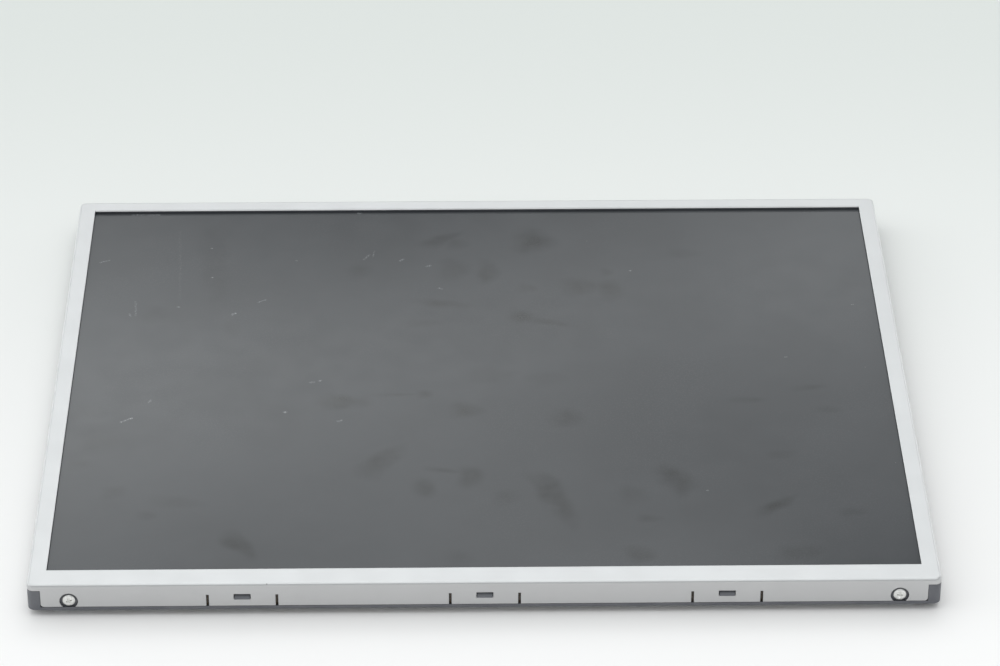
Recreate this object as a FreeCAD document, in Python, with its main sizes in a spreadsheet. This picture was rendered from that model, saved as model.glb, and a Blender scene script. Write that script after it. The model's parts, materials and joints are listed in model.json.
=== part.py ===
import FreeCAD, Part
import functools
import math
import os
import re

import Sketcher
from FreeCAD import Rotation, Vector

# A 19-inch liquid crystal display module with edge lamps, lying face up on its back.
# +Z points out of the screen, +X along the long side and +Y to the far long side.
# The origin is under the middle of the outline, on the surface that the module rests on.
# Sizes grow outwards from the lit area, so that each layer makes room for the one inside it.

TINY = 1e-4
FULL_ROUND = 0.48  # share of a width that rounds its end without closing up
EDGE_SHARE = 0.8  # most of a wall that an edge may take for its bevel
INNER_FILMS = 3  # driver films between two hooks
OUTER_FILMS = 2  # driver films between a hook and an end screw
VENTS = 4  # slots on each half of the shield
SIDES = (-1, 1)
LEFT_RIGHT = tuple(zip(("left", "right"), SIDES))
NEAR_FAR = tuple(zip(("near", "far"), SIDES))

DRIVING = {
    # lit area and the window round it
    "active_width": 376.32,
    "active_depth": 301.06,
    "window_margin": 2.05,
    # glass cell
    "polariser_overlap": 0.3,
    "polariser_thickness": 0.2,
    "filter_margin": 1.6,
    "filter_thickness": 0.7,
    "array_thickness": 0.7,
    "terminal_gap": 0.9,
    "terminal_fan": 1.2,
    "cell_gap": 0.74,
    "rear_polariser_gap": 0.3,
    "screen_recess": 0.9,
    "gasket_gap": 0.1,
    # optical sheets and light guide
    "upper_diffuser_thickness": 0.3,
    "prism_thickness": 0.3,
    "lower_diffuser_thickness": 0.3,
    "reflector_thickness": 0.3,
    "sheet_play": 0.3,
    "guide_margin": 1.5,
    "sheet_gap": 0.2,
    "bumper_length": 14.0,
    "bumper_height": 5.0,
    "bumper_pitch": 250.0,
    # lamps
    "lamp_diameter": 2.2,
    "lamp_space": 0.6,
    "lamp_rim": 0.5,
    "lamp_back": 0.6,
    "channel_sheet": 0.3,
    "channel_lip": 1.0,
    "channel_gap": 0.2,
    "holder_play": 0.05,
    "holder_skin": 0.3,
    "holder_clear": 0.2,
    "holder_cap": 0.7,
    "holder_gap": 0.85,
    "holder_length": 6.0,
    "near_service_gap": 4.07,
    "far_service_gap": 0.67,
    "outlet_width": 5.0,
    "outlet_height": 3.4,
    # bottom chassis
    "chassis_sheet": 0.8,
    "chassis_bend": 1.3,
    "tray_gap": 0.2,
    "plateau_side": 26.0,
    "plateau_far": 24.0,
    "plateau_gap": 16.0,
    "plateau_slope": 45.0,
    "plateau_corner": 9.0,
    "bead_length": 236.0,
    "bead_width": 13.0,
    "bead_depth": 1.3,
    "bead_pitch": 96.0,
    # mould frame
    "film_web": 0.8,
    "frame_gap": 0.15,
    "ledge_thickness": 1.5,
    "ledge_margin": 1.4,
    "rim_gap": 0.2,
    "foot_drop": 0.9,
    "foot_height": 2.35,
    "foot_bevel": 1.1,
    "post_gap": 0.15,
    "hook_play": 0.15,
    "hook_height": 2.2,
    "hook_flat": 0.4,
    "hook_proud": 0.5,
    "hook_bed": 0.5,
    # front bezel
    "bezel_sheet": 0.8,
    "bezel_bend": 1.2,
    "bezel_corner": 3.0,
    "seat_gap": 0.15,
    "corner_relief": 5.8,
    "corner_lip": 3.0,
    "relief_round": 1.5,
    "tab_width": 30.0,
    "tab_pitch": 105.0,
    "side_tab_pitch": 150.0,
    "slit_width": 1.2,
    "slit_length": 5.85,
    "hook_window_width": 7.3,
    "hook_window_height": 2.7,
    "hook_window_drop": 6.7,
    # screws along the long walls
    "screw_inset": 18.0,
    "screw_drop": 8.5,
    "screw_notch": 8.0,
    "screw_diameter": 3.0,
    "screw_head": 5.8,
    "screw_crown": 3.4,
    "screw_head_height": 0.8,
    "screw_play": 0.05,
    "screw_tip": 0.25,
    # threaded nuts in the short walls, for fixing the module
    "mount_offset": 32.0,
    "mount_drop": 7.9,
    "mount_window": 4.0,
    "mount_thread": 2.5,
    "nut_flats": 5.5,
    "nut_play": 0.05,
    # driver films
    "film_width": 22.0,
    "film_thickness": 0.12,
    "film_play": 0.365,
    "film_bond": 1.3,
    "film_side": 1.0,
    "film_rise": 0.2,
    "chip_thickness": 0.35,
    "chip_length": 16.0,
    "chip_height": 1.8,
    "gate_film_width": 20.0,
    "gate_film_end": 3.2,
    "gate_film_gap": 6.0,
    # control board and its parts
    "board_thickness": 0.8,
    "board_standoff": 0.4,
    "board_room": 0.8,
    "board_strip": 26.0,
    "board_stem": 33.0,
    "board_stem_width": 116.0,
    "board_bond": 2.5,
    "boss_diameter": 6.0,
    "board_screw_inset": 7.0,
    "board_screw_diameter": 2.5,
    "board_screw_head": 4.6,
    "board_screw_head_height": 1.2,
    "socket_width": 40.0,
    "socket_depth": 5.4,
    "socket_height": 1.5,
    "socket_wall": 0.4,
    "socket_mouth": 3.6,
    "controller_side": 14.0,
    "controller_height": 1.2,
    "supply_side": 7.0,
    "supply_height": 1.0,
    "coil_side": 6.0,
    "coil_height": 1.4,
    "part_gap": 0.3,
    "part_space": 9.0,
    # board shield
    "shield_sheet": 0.4,
    "shield_gap": 0.85,
    "shield_side": 7.8,
    "shield_post": 2.0,
    "shield_lip": 0.7,
    "socket_clear": 3.0,
    "ear_width": 11.0,
    "ear_length": 9.0,
    "ear_screw_tip": 0.1,
    "vent_length": 16.0,
    "vent_width": 2.4,
    "vent_pitch": 22.0,
    "vent_start": 80.0,
    # tools pass this far beyond the faces that they cut
    "overcut": 1.0,
}

DERIVED = {
    # heights, from the rest surface up
    "part_room": "max(socket_height; controller_height; supply_height; coil_height; board_screw_head_height)"
                 " + part_gap",
    "board_base": "shield_sheet + part_room",
    "board_top": "board_base + board_thickness",
    "rear_depth": "board_top + board_standoff",
    "tray_floor": "rear_depth + chassis_sheet",
    "guide_thickness": "2 * lamp_diameter + lamp_space + 2 * lamp_rim",
    "guide_base": "tray_floor + reflector_thickness",
    "guide_top": "guide_base + guide_thickness",
    "prism_base": "guide_top + lower_diffuser_thickness",
    "upper_base": "prism_base + prism_thickness",
    "ledge_base": "upper_base + upper_diffuser_thickness + sheet_play",
    "ledge_top": "ledge_base + ledge_thickness",
    "filter_base": "ledge_top + array_thickness",
    "filter_top": "filter_base + filter_thickness",
    "bezel_under": "filter_top + polariser_thickness + screen_recess",
    "front_face": "bezel_under + bezel_sheet",
    "frame_foot": "rear_depth - foot_drop",
    "foot_top": "frame_foot + foot_height",
    "wall_base": "foot_top + seat_gap",
    "bezel_wall": "front_face - wall_base",
    "rim_top": "bezel_under - rim_gap",
    "relief_top": "front_face - corner_lip",
    "post_top": "relief_top - post_gap",
    "hook_window_base": "front_face - hook_window_drop - hook_window_height / 2",
    "hook_base": "hook_window_base + hook_play",
    "screw_level": "front_face - screw_drop",
    "mount_level": "front_face - mount_drop",
    "lamp_low": "guide_base + lamp_rim + lamp_diameter / 2",
    "lamp_high": "lamp_low + lamp_diameter + lamp_space",
    "outlet_top": "wall_base + outlet_height",
    "film_level": "filter_base",
    "film_top": "film_level + film_thickness",
    "film_bottom": "board_top",
    # half widths, from the lit area out
    "window_x": "active_width / 2 + window_margin",
    "polariser_x": "window_x + polariser_overlap",
    "filter_x": "polariser_x + filter_margin",
    "gate_terminal": "film_bond + terminal_gap",
    "source_terminal": "gate_terminal + terminal_fan",
    "array_left": "filter_x + gate_terminal",
    "frame_wall": "film_web + film_room",
    "film_room": "film_thickness + chip_thickness + 2 * film_play",
    "frame_inner_x": "array_left + cell_gap",
    "frame_x": "frame_inner_x + frame_wall",
    "bezel_inner_x": "frame_x + frame_gap",
    "outline_x": "bezel_inner_x + bezel_sheet",
    "tray_x": "frame_inner_x - tray_gap",
    "tray_inner_x": "tray_x - chassis_sheet",
    "guide_x": "active_width / 2 + guide_margin",
    "ledge_x": "active_width / 2 + ledge_margin",
    "holder_outer": "tray_inner_x - holder_gap",
    "holder_inner": "holder_outer - holder_length",
    "lamp_half": "holder_outer - holder_cap",
    "post_x": "outline_x - corner_relief + post_gap",
    "relief_x": "outline_x - corner_relief",
    "screw_x": "outline_x - screw_inset",
    # half depths, set by the lamps along both long edges
    "lamp_gap": "holder_play + holder_skin + holder_clear",
    "lamp_bay": "guide_margin + lamp_gap + lamp_diameter + lamp_back + channel_sheet",
    "wall_bay": "chassis_sheet + tray_gap + frame_wall + frame_gap + bezel_sheet",
    "near_bay": "lamp_bay + near_service_gap + wall_bay",
    "far_bay": "lamp_bay + far_service_gap + wall_bay",
    "outline_y": "(active_depth + near_bay + far_bay) / 2",
    "centre_y": "(near_bay - far_bay) / 2",
    "bezel_inner_y": "outline_y - bezel_sheet",
    "frame_y": "bezel_inner_y - frame_gap",
    "frame_inner_y": "frame_y - frame_wall",
    "tray_y": "frame_inner_y - tray_gap",
    "tray_inner_y": "tray_y - chassis_sheet",
    "relief_y": "outline_y - corner_relief",
    "post_y": "relief_y + post_gap",
    "window_y": "active_depth / 2 + window_margin",
    "polariser_y": "window_y + polariser_overlap",
    "filter_y": "polariser_y + filter_margin",
    "ledge_y": "active_depth / 2 + ledge_margin",
    "guide_y": "active_depth / 2 + guide_margin",
    "sheet_y": "guide_y - channel_lip - sheet_gap",
    "lamp_y": "guide_y + lamp_gap + lamp_diameter / 2",
    "channel_y": "lamp_y + lamp_diameter / 2 + lamp_back + channel_sheet",
    "array_near": "centre_y - filter_y - source_terminal",
    "screw_end": "tray_inner_y - screw_tip",
    "side_tab_y": "side_tab_pitch / 2",
    "mount_y": "side_tab_y + mount_offset",
    # hooks and films
    "hook_width": "hook_window_width - 4 * hook_play",
    "hook_tip_x": "outline_x + hook_proud",
    "hook_tip_y": "outline_y + hook_proud",
    "film_out_x": "frame_x - film_play",
    "film_out_y": "frame_y - film_play",
    "inner_gap": f"(tab_pitch - hook_width - {INNER_FILMS} * film_width) / {INNER_FILMS + 1}",
    "outer_bay": "screw_x - screw_notch / 2 - tab_pitch - hook_width / 2",
    "outer_gap": f"(outer_bay - {OUTER_FILMS} * film_width) / {OUTER_FILMS + 1}",
    "nut_corner": "nut_flats / sqrt(3)",
    "nut_pocket": "nut_corner + nut_play",
    "gate_film_outer": "mount_y + nut_pocket + gate_film_gap + gate_film_width / 2",
    # board and shield outlines on the back
    "shield_x": "tray_x - shield_side",
    "shield_near": "shield_gap - frame_inner_y",
    "board_x": "shield_x - shield_sheet - board_room",
    "board_near": "shield_near + shield_sheet + board_room",
    "board_far": "board_near + board_strip",
    "stem_far": "board_far + board_stem",
    "stem_x": "board_stem_width / 2",
    "shield_far": "board_far + board_room + shield_sheet",
    "shield_stem_far": "stem_far + board_room + shield_sheet",
    "shield_stem_x": "stem_x + board_room + shield_sheet",
    "shield_near_top": "film_bottom - shield_lip",
    "board_screw_x": "board_x - board_screw_inset",
    "board_screw_y": "board_far - board_screw_inset",
    "ear_y": "(shield_far + shield_stem_far) / 2",
    "ear_screw_x": "shield_stem_x + ear_length / 2",
    "plateau_x": "tray_x - plateau_side",
    "plateau_near": "shield_stem_far + plateau_gap",
    "plateau_top": "tray_y - plateau_far",
    "plateau_middle": "(plateau_near + plateau_top) / 2",
    "plateau_inset": "chassis_sheet / cos(plateau_slope * 1deg) - chassis_sheet * tan(plateau_slope * 1deg)",
}

doc = FreeCAD.newDocument("screen_module")
sizes = doc.addObject("Spreadsheet::Sheet", "Sizes")
for row, (alias, number) in enumerate(DRIVING.items(), start=1):
    sizes.set(f"A{row}", alias)
    sizes.set(f"B{row}", str(number))
    sizes.setAlias(f"B{row}", alias)
doc.recompute()


def bound(text):
    # an expression whose words read the sheet or the worked-out levels
    def link(match):
        word = match.group(0)
        if word in DRIVING:
            return f"Sizes.{word}"
        return f"Levels.{word}" if word in DERIVED else word
    return re.sub(r"[A-Za-z_]\w*", link, text)


levels = doc.addObject("App::VarSet", "Levels")
for name in DERIVED:
    levels.addProperty("App::PropertyFloat", name)
for name, text in DERIVED.items():
    levels.setExpression(name, bound(text))
doc.recompute()

reader = doc.addObject("App::VarSet", "Reader")
reader.addProperty("App::PropertyFloat", "value")
pieces = []


@functools.cache
def number(text):
    # what an expression is worth
    reader.setExpression("value", bound(text))
    reader.recompute()
    return reader.value


def keep(piece, label):
    piece.Label = label
    pieces.append(piece)
    return piece


def new_body(label):
    return keep(doc.addObject("PartDesign::Body", label), label)


def sketch(body, role, offset="0"):
    made = body.newObject("Sketcher::SketchObject", "Sketch")
    plane = next(item for item in body.Origin.OriginFeatures if item.Role == role)
    made.AttachmentSupport = [(plane, "")]
    made.MapMode = "FlatFace"
    made.setExpression("AttachmentOffset.Base.z", bound(offset))
    return made


def spot_of(corner):
    return Vector(number(corner[0]), number(corner[1]), 0)


def draw(profile, shapes, joins, ties):
    # adds shapes to a sketch, joins their ends and binds their measures to the sheet
    first = profile.GeometryCount
    profile.addGeometry(shapes, False)
    rules = []
    for shape, point, other, other_point in joins:
        rules.append(Sketcher.Constraint("Coincident", first + shape, point, first + other, other_point))
    for kind, shape, point, text in ties:
        held = (first + shape,) if kind == "Diameter" else (-1, 1, first + shape, point)
        rules.append(Sketcher.Constraint(kind, *held, number(text)))
    indices = profile.addConstraint(rules)
    for index, (_, _, _, text) in zip(indices[len(joins):], ties):
        profile.setExpression(f"Constraints[{index}]", bound(text))


def at(shape, point, corner):
    # ties one point of a shape to its two coordinates
    return [("DistanceX", shape, point, corner[0]), ("DistanceY", shape, point, corner[1])]


def polygon(profile, corners):
    count = len(corners)
    spots = [spot_of(corner) for corner in corners]
    lines = [Part.LineSegment(start, end) for start, end in zip(spots, spots[1:] + spots[:1])]
    joins = [(line, 2, (line + 1) % count, 1) for line in range(count)]
    ties = [rule for line, corner in enumerate(corners) for rule in at(line, 1, corner)]
    draw(profile, lines, joins, ties)


def stepped(corner, radius, way):
    # a point that lies one radius away from a corner
    return tuple(f"({text}) + ({radius}) * ({part:.0f})" for text, part in zip(corner, way))


def rounded(profile, corners, radius):
    # a closed outline of level and upright edges whose corners are all rounded
    count = len(corners)
    spots = [spot_of(corner) for corner in corners]
    ways = [(end - start).normalize() for start, end in zip(spots, spots[1:] + spots[:1])]
    enters = [stepped(corner, radius, -way) for corner, way in zip(corners, ways[-1:] + ways)]
    leaves = [stepped(corner, radius, way) for corner, way in zip(corners, ways)]
    lines, arcs, joins, ties = [], [], [], []
    for step, corner in enumerate(corners):
        after = (step + 1) % count
        lines.append(Part.LineSegment(spot_of(leaves[step]), spot_of(enters[after])))
        ties += at(step, 1, leaves[step]) + at(step, 2, enters[after])
        middle = stepped(leaves[step], radius, -ways[step - 1])
        left_turn = ways[step - 1].cross(ways[step]).z > 0
        ends = [enters[step], leaves[step]] if left_turn else [leaves[step], enters[step]]
        reach = [spot_of(end) - spot_of(middle) for end in ends]
        turns = [math.atan2(arm.y, arm.x) for arm in reach]
        arcs.append(Part.ArcOfCircle(Part.Circle(spot_of(middle), Vector(0, 0, 1), number(radius)), *turns))
        joins.append(((step - 1) % count, 2, count + step, 1 if left_turn else 2))
        joins.append((step, 1, count + step, 2 if left_turn else 1))
        ties.append(("DistanceX", count + step, 3, middle[0]))
    draw(profile, lines + arcs, joins, ties)


def rectangle(profile, left, low, right, high, radius=None):
    corners = [(left, low), (right, low), (right, high), (left, high)]
    if radius:
        rounded(profile, corners, radius)
    else:
        polygon(profile, corners)


def hexagon(profile, across, up, corner):
    # flats above and below, corners at both sides
    turns = [f"{turn} * 60deg" for turn in range(6)]
    corners = [(f"{across} + {corner} * cos({turn})", f"{up} + {corner} * sin({turn})") for turn in turns]
    polygon(profile, corners)


def circle(profile, across, up, diameter):
    ring = Part.Circle(spot_of((across, up)), Vector(0, 0, 1), number(diameter) / 2)
    draw(profile, [ring], [], at(0, 3, (across, up)) + [("Diameter", 0, 3, diameter)])


def extrude(body, kind, profile, length, reverse, slope):
    made = body.newObject(f"PartDesign::{kind}", kind)
    made.Profile = profile
    made.Reversed = reverse
    if length is None:
        made.Type = "ThroughAll"
        made.SideType = "Symmetric"
    else:
        made.setExpression("Length", bound(length))
    if slope:
        made.setExpression("TaperAngle", bound(slope))
    return made


def pad(body, profile, length, reverse=False, slope=None):
    made = extrude(body, "Pad", profile, length, reverse, slope)
    doc.recompute()
    return made


def pad_middle(body, profile, length):
    made = extrude(body, "Pad", profile, length, False, None)
    made.SideType = "Symmetric"
    doc.recompute()
    return made


def pocket(body, profile, length=None, reverse=False, slope=None):
    before = body.Tip.Shape.Volume
    made = extrude(body, "Pocket", profile, length, reverse, slope)
    doc.recompute()
    if made.Shape.Volume > before - TINY:
        raise ValueError(f"a cut in {body.Label} misses the solid")
    return made


def same(first, second):
    return abs(first - second) < TINY


def at_height(edge, height):
    return all(same(corner.Z, height) for corner in edge.Vertexes)


def dress_edges(body, kind, measure, size, chosen):
    base = body.Tip
    names = [f"Edge{index}" for index, edge in enumerate(base.Shape.Edges, start=1) if chosen(edge)]
    if not names:
        raise ValueError(f"no edge of {body.Label} to dress")
    made = body.newObject(f"PartDesign::{kind}", kind)
    made.Base = (base, names)
    made.setExpression(measure, bound(size))
    doc.recompute()


def round_edges(body, radius, chosen):
    dress_edges(body, "Fillet", "Radius", radius, chosen)


def bevel_edges(body, size, chosen):
    dress_edges(body, "Chamfer", "Size", size, chosen)


def box(label, low, high):
    # a plain plate between two corners
    made = keep(doc.addObject("Part::Box", label), label)
    for axis, side, start, end in zip("xyz", ("Length", "Width", "Height"), low, high):
        made.setExpression(f"Placement.Base.{axis}", bound(start))
        made.setExpression(side, bound(f"({end}) - ({start})"))
    return made


def centred(profile, half_x, half_y, radius=None):
    rectangle(profile, f"-{half_x}", f"-{half_y}", half_x, half_y, radius)


def round_screen(profile, half_x, half_y):
    # a rectangle about the middle of the lit area
    rectangle(profile, f"-{half_x}", f"centre_y - {half_y}", half_x, f"centre_y + {half_y}")


def film_places():
    # driver films evenly spread over the bays between the hooks and the end screws
    inner_start = "hook_width / 2 + inner_gap + film_width / 2"
    outer_start = "tab_pitch + hook_width / 2 + outer_gap + film_width / 2"
    for side in SIDES:
        for step in range(INNER_FILMS):
            yield f"{side} * ({inner_start} + {step} * (film_width + inner_gap))"
        for step in range(OUTER_FILMS):
            yield f"{side} * ({outer_start} + {step} * (film_width + outer_gap))"


def gate_places():
    for side in SIDES:
        yield f"{side} * side_tab_y / 2"
        yield f"{side} * gate_film_outer"


def tab_places():
    return [f"{step} * tab_pitch" for step in (-1, 0, 1)]


def side_tab_places():
    return [f"{side} * side_tab_y" for side in SIDES]


def outlet_cut(body, low, high, reach):
    # lead outlets at the lamps' ends, in the right wall only
    profile = sketch(body, "YZ_Plane", "outline_x + overcut")
    for side in SIDES:
        middle = f"centre_y + {side} * lamp_y"
        rectangle(profile, f"{middle} - outlet_width / 2", low, f"{middle} + outlet_width / 2", high)
    pocket(body, profile, reach)


def cut_tabs(body, role, places):
    # slits free a tab on both sides of a hook window, through two facing walls
    slits = sketch(body, role)
    windows = sketch(body, role)
    for spot in places:
        for side in SIDES:
            middle = f"{spot} + {side} * tab_width / 2"
            rectangle(slits, f"{middle} - slit_width / 2", "wall_base - overcut",
                      f"{middle} + slit_width / 2", "wall_base + slit_length")
        rectangle(windows, f"{spot} - hook_window_width / 2", "hook_window_base",
                  f"{spot} + hook_window_width / 2", "hook_window_base + hook_window_height")
    pocket(body, slits)
    pocket(body, windows)


def front_bezel():
    body = new_body("front_bezel")
    blank = sketch(body, "XY_Plane", "wall_base")
    centred(blank, "outline_x", "outline_y", "bezel_corner")
    pad(body, blank, "bezel_wall")
    round_edges(body, "bezel_bend", lambda edge: at_height(edge, levels.front_face))
    hollow = sketch(body, "XY_Plane", "wall_base")
    centred(hollow, "bezel_inner_x", "bezel_inner_y", "bezel_corner - bezel_sheet")
    pocket(body, hollow, "bezel_wall - bezel_sheet", reverse=True)
    window = sketch(body, "XY_Plane", "front_face")
    round_screen(window, "window_x", "window_y")
    pocket(body, window, "bezel_sheet")
    reliefs = sketch(body, "XY_Plane", "wall_base")
    for side in SIDES:
        for end in SIDES:
            rectangle(reliefs, f"{side} * relief_x", f"{end} * relief_y",
                      f"{side} * (outline_x + overcut)", f"{end} * (outline_y + overcut)")
    pocket(body, reliefs, "bezel_wall - corner_lip", reverse=True)
    round_edges(body, "relief_round",
                lambda edge: at_height(edge, levels.wall_base) and same(edge.Length, number("bezel_sheet")))
    notches = sketch(body, "XZ_Plane")
    for side in SIDES:
        circle(notches, f"{side} * screw_x", "screw_level", "screw_notch")
    pocket(body, notches)
    mounts = sketch(body, "YZ_Plane")
    for side in SIDES:
        circle(mounts, f"{side} * mount_y", "mount_level", "mount_window")
    pocket(body, mounts)
    outlet_cut(body, "wall_base - overcut", "outlet_top", "bezel_sheet + overcut")
    cut_tabs(body, "XZ_Plane", tab_places())
    cut_tabs(body, "YZ_Plane", side_tab_places())


def frame_hooks(body, role, tip, root, places):
    # sloped hooks on two facing walls, drawn in section and run along the wall
    for spot in places:
        section = sketch(body, role, spot)
        for side in SIDES:
            polygon(section, [
                (f"{side} * {root}", "hook_base"),
                (f"{side} * {tip}", "hook_base"),
                (f"{side} * {tip}", "hook_base + hook_flat"),
                (f"{side} * {root}", "hook_base + hook_height"),
            ])
        pad_middle(body, section, "hook_width")


def mould_frame():
    body = new_body("mould_frame")
    foot = sketch(body, "XY_Plane", "frame_foot")
    centred(foot, "outline_x", "outline_y", "bezel_corner")
    pad(body, foot, "post_top - frame_foot")
    bevel_edges(body, f"min(foot_bevel; foot_height * {EDGE_SHARE})",
                lambda edge: at_height(edge, levels.frame_foot))
    sides = sketch(body, "XY_Plane", "post_top")
    for side in SIDES:
        rectangle(sides, "-post_x", f"{side} * frame_y", "post_x", f"{side} * (outline_y + overcut)")
        rectangle(sides, f"{side} * frame_x", "-post_y", f"{side} * (outline_x + overcut)", "post_y")
    pocket(body, sides, "post_top - foot_top")
    rim = sketch(body, "XY_Plane", "foot_top")
    centred(rim, "frame_x", "frame_y", "bezel_corner - bezel_sheet - frame_gap")
    pad(body, rim, "rim_top - foot_top")
    cavity = sketch(body, "XY_Plane", "frame_foot")
    centred(cavity, "frame_inner_x", "frame_inner_y")
    pocket(body, cavity, "ledge_base - frame_foot", reverse=True)
    recess = sketch(body, "XY_Plane", "rim_top")
    centred(recess, "frame_inner_x", "frame_inner_y")
    pocket(body, recess, "rim_top - ledge_top")
    light = sketch(body, "XY_Plane", "ledge_top")
    round_screen(light, "ledge_x", "ledge_y")
    pocket(body, light, "ledge_thickness")
    frame_hooks(body, "YZ_Plane", "hook_tip_y", "(frame_y - hook_bed)", tab_places())
    frame_hooks(body, "XZ_Plane", "hook_tip_x", "(frame_x - hook_bed)", side_tab_places())
    screw_holes(body)
    nuts = sketch(body, "YZ_Plane")
    for side in SIDES:
        hexagon(nuts, f"{side} * mount_y", "mount_level", "nut_pocket")
    pocket(body, nuts)
    outlet_cut(body, "foot_top", "outlet_top", "frame_wall + frame_gap + bezel_sheet + 2 * overcut")
    gate_channels(body)
    film_channels(body)


def film_channels(body):
    # the near wall lets each source film over the rim, down its face and in below the chassis
    face = sketch(body, "XY_Plane", "rim_top")
    over = sketch(body, "XY_Plane", "rim_top")
    below = sketch(body, "XY_Plane", "frame_foot")
    for spot in film_places():
        left = f"{spot} - film_width / 2 - film_side"
        right = f"{spot} + film_width / 2 + film_side"
        rectangle(face, left, "-frame_y", right, "film_room - frame_y")
        rectangle(over, left, "-frame_y", right, "overcut - frame_inner_y")
        rectangle(below, left, "film_room - frame_y", right, "overcut - frame_inner_y")
    pocket(body, face, "rim_top - frame_foot")
    pocket(body, over, "rim_top - film_level + film_rise")
    pocket(body, below, "foot_drop", reverse=True)


def gate_channels(body):
    face = sketch(body, "XY_Plane", "rim_top")
    over = sketch(body, "XY_Plane", "rim_top")
    for spot in gate_places():
        low = f"{spot} - gate_film_width / 2 - film_side"
        high = f"{spot} + gate_film_width / 2 + film_side"
        rectangle(face, "-frame_x", low, "film_room - frame_x", high)
        rectangle(over, "-frame_x", low, "overcut - frame_inner_x", high)
    pocket(body, face, "rim_top - foot_top")
    pocket(body, over, "rim_top - film_level + film_rise")


def screw_holes(body):
    # clearance holes for the screws through both long walls
    holes = sketch(body, "XZ_Plane")
    for side in SIDES:
        circle(holes, f"{side} * screw_x", "screw_level", "screw_diameter + 2 * screw_play")
    pocket(body, holes)


def bottom_chassis():
    body = new_body("bottom_chassis")
    blank = sketch(body, "XY_Plane", "rear_depth")
    centred(blank, "tray_x", "tray_y")
    pad(body, blank, "ledge_base - rear_depth")
    round_edges(body, "chassis_bend", lambda edge: at_height(edge, levels.rear_depth))
    hollow = sketch(body, "XY_Plane", "ledge_base")
    centred(hollow, "tray_inner_x", "tray_inner_y")
    pocket(body, hollow, "ledge_base - tray_floor")
    press_plateau(body)
    press_beads(body)
    bosses = sketch(body, "XY_Plane", "rear_depth")
    holes = sketch(body, "XY_Plane", "rear_depth - board_standoff")
    for across, up in board_screw_places():
        circle(bosses, across, up, "boss_diameter")
        circle(holes, across, up, "board_screw_diameter + 2 * screw_play")
    pad(body, bosses, "board_standoff", reverse=True)
    pocket(body, holes, "board_standoff + chassis_sheet", reverse=True)
    ears = sketch(body, "XY_Plane", "rear_depth")
    for across, up in ear_screw_places():
        circle(ears, across, up, "board_screw_diameter + 2 * screw_play")
    pocket(body, ears, "chassis_sheet", reverse=True)
    screw_holes(body)
    outlet_cut(body, "foot_top", "outlet_top", "outline_x - tray_inner_x + 2 * overcut")


def press_plateau(body):
    # a sloped plateau pressed out of the back, on which the module lies
    outer = sketch(body, "XY_Plane", "rear_depth")
    rectangle(outer, "-plateau_x", "plateau_near", "plateau_x", "plateau_top", "plateau_corner")
    pad(body, outer, "rear_depth", reverse=True, slope="-plateau_slope")
    inner = sketch(body, "XY_Plane", "tray_floor")
    rectangle(inner, "plateau_inset - plateau_x", "plateau_near + plateau_inset",
              "plateau_x - plateau_inset", "plateau_top - plateau_inset", "plateau_corner - plateau_inset")
    pocket(body, inner, "tray_floor - chassis_sheet", slope="-plateau_slope")


def press_beads(body):
    # stiffening beads with round ends, pressed back into the plateau
    raised = sketch(body, "XY_Plane", "chassis_sheet")
    sunk = sketch(body, "XY_Plane", "0")
    for side in SIDES:
        middle = f"plateau_middle + {side} * bead_pitch / 2"
        for profile, wall in ((raised, "chassis_sheet"), (sunk, "0")):
            rectangle(profile, f"-bead_length / 2 - {wall}", f"{middle} - bead_width / 2 - {wall}",
                      f"bead_length / 2 + {wall}", f"{middle} + bead_width / 2 + {wall}",
                      f"bead_width * {FULL_ROUND} + {wall}")
    pad(body, raised, "bead_depth")
    pocket(body, sunk, "bead_depth", reverse=True)


def board_screw_places():
    for side in SIDES:
        yield f"{side} * board_screw_x", "board_screw_y"


def ear_screw_places():
    for side in SIDES:
        yield f"{side} * ear_screw_x", "ear_y"


def stem_outline(profile, half_x, near, far, stem_half, stem_end):
    # a strip along the near edge with a stem in its middle
    polygon(profile, [
        (f"-{half_x}", near), (half_x, near), (half_x, far), (stem_half, far),
        (stem_half, stem_end), (f"-{stem_half}", stem_end), (f"-{stem_half}", far), (f"-{half_x}", far),
    ])


def control_board():
    body = new_body("control_board")
    plate = sketch(body, "XY_Plane", "board_base")
    stem_outline(plate, "board_x", "board_near", "board_far", "stem_x", "stem_far")
    for across, up in board_screw_places():
        circle(plate, across, up, "board_screw_diameter + 2 * screw_play")
    pad(body, plate, "board_thickness")


def board_parts():
    # parts on the board's rear face, inside the shield
    parts = (
        ("timing_controller", "-part_space - controller_side", "controller_side", "controller_height"),
        ("supply_chip", "part_space", "supply_side", "supply_height"),
        ("supply_coil", "2 * part_space + supply_side", "coil_side", "coil_height"),
    )
    for label, left, side, height in parts:
        body = new_body(label)
        plate = sketch(body, "XY_Plane", "board_base")
        rectangle(plate, left, f"board_far - {side} / 2", f"{left} + {side}", f"board_far + {side} / 2")
        pad(body, plate, height, reverse=True)


def signal_socket():
    body = new_body("signal_socket")
    block = sketch(body, "XY_Plane", "board_base")
    rectangle(block, "-socket_width / 2", "stem_far - socket_depth", "socket_width / 2", "stem_far")
    pad(body, block, "socket_height", reverse=True)
    mouth = sketch(body, "XZ_Plane", "-stem_far")
    rectangle(mouth, "2 * socket_wall - socket_width / 2", "board_base - socket_height + socket_wall",
              "socket_width / 2 - 2 * socket_wall", "board_base - socket_wall")
    pocket(body, mouth, "socket_mouth", reverse=True)


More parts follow.
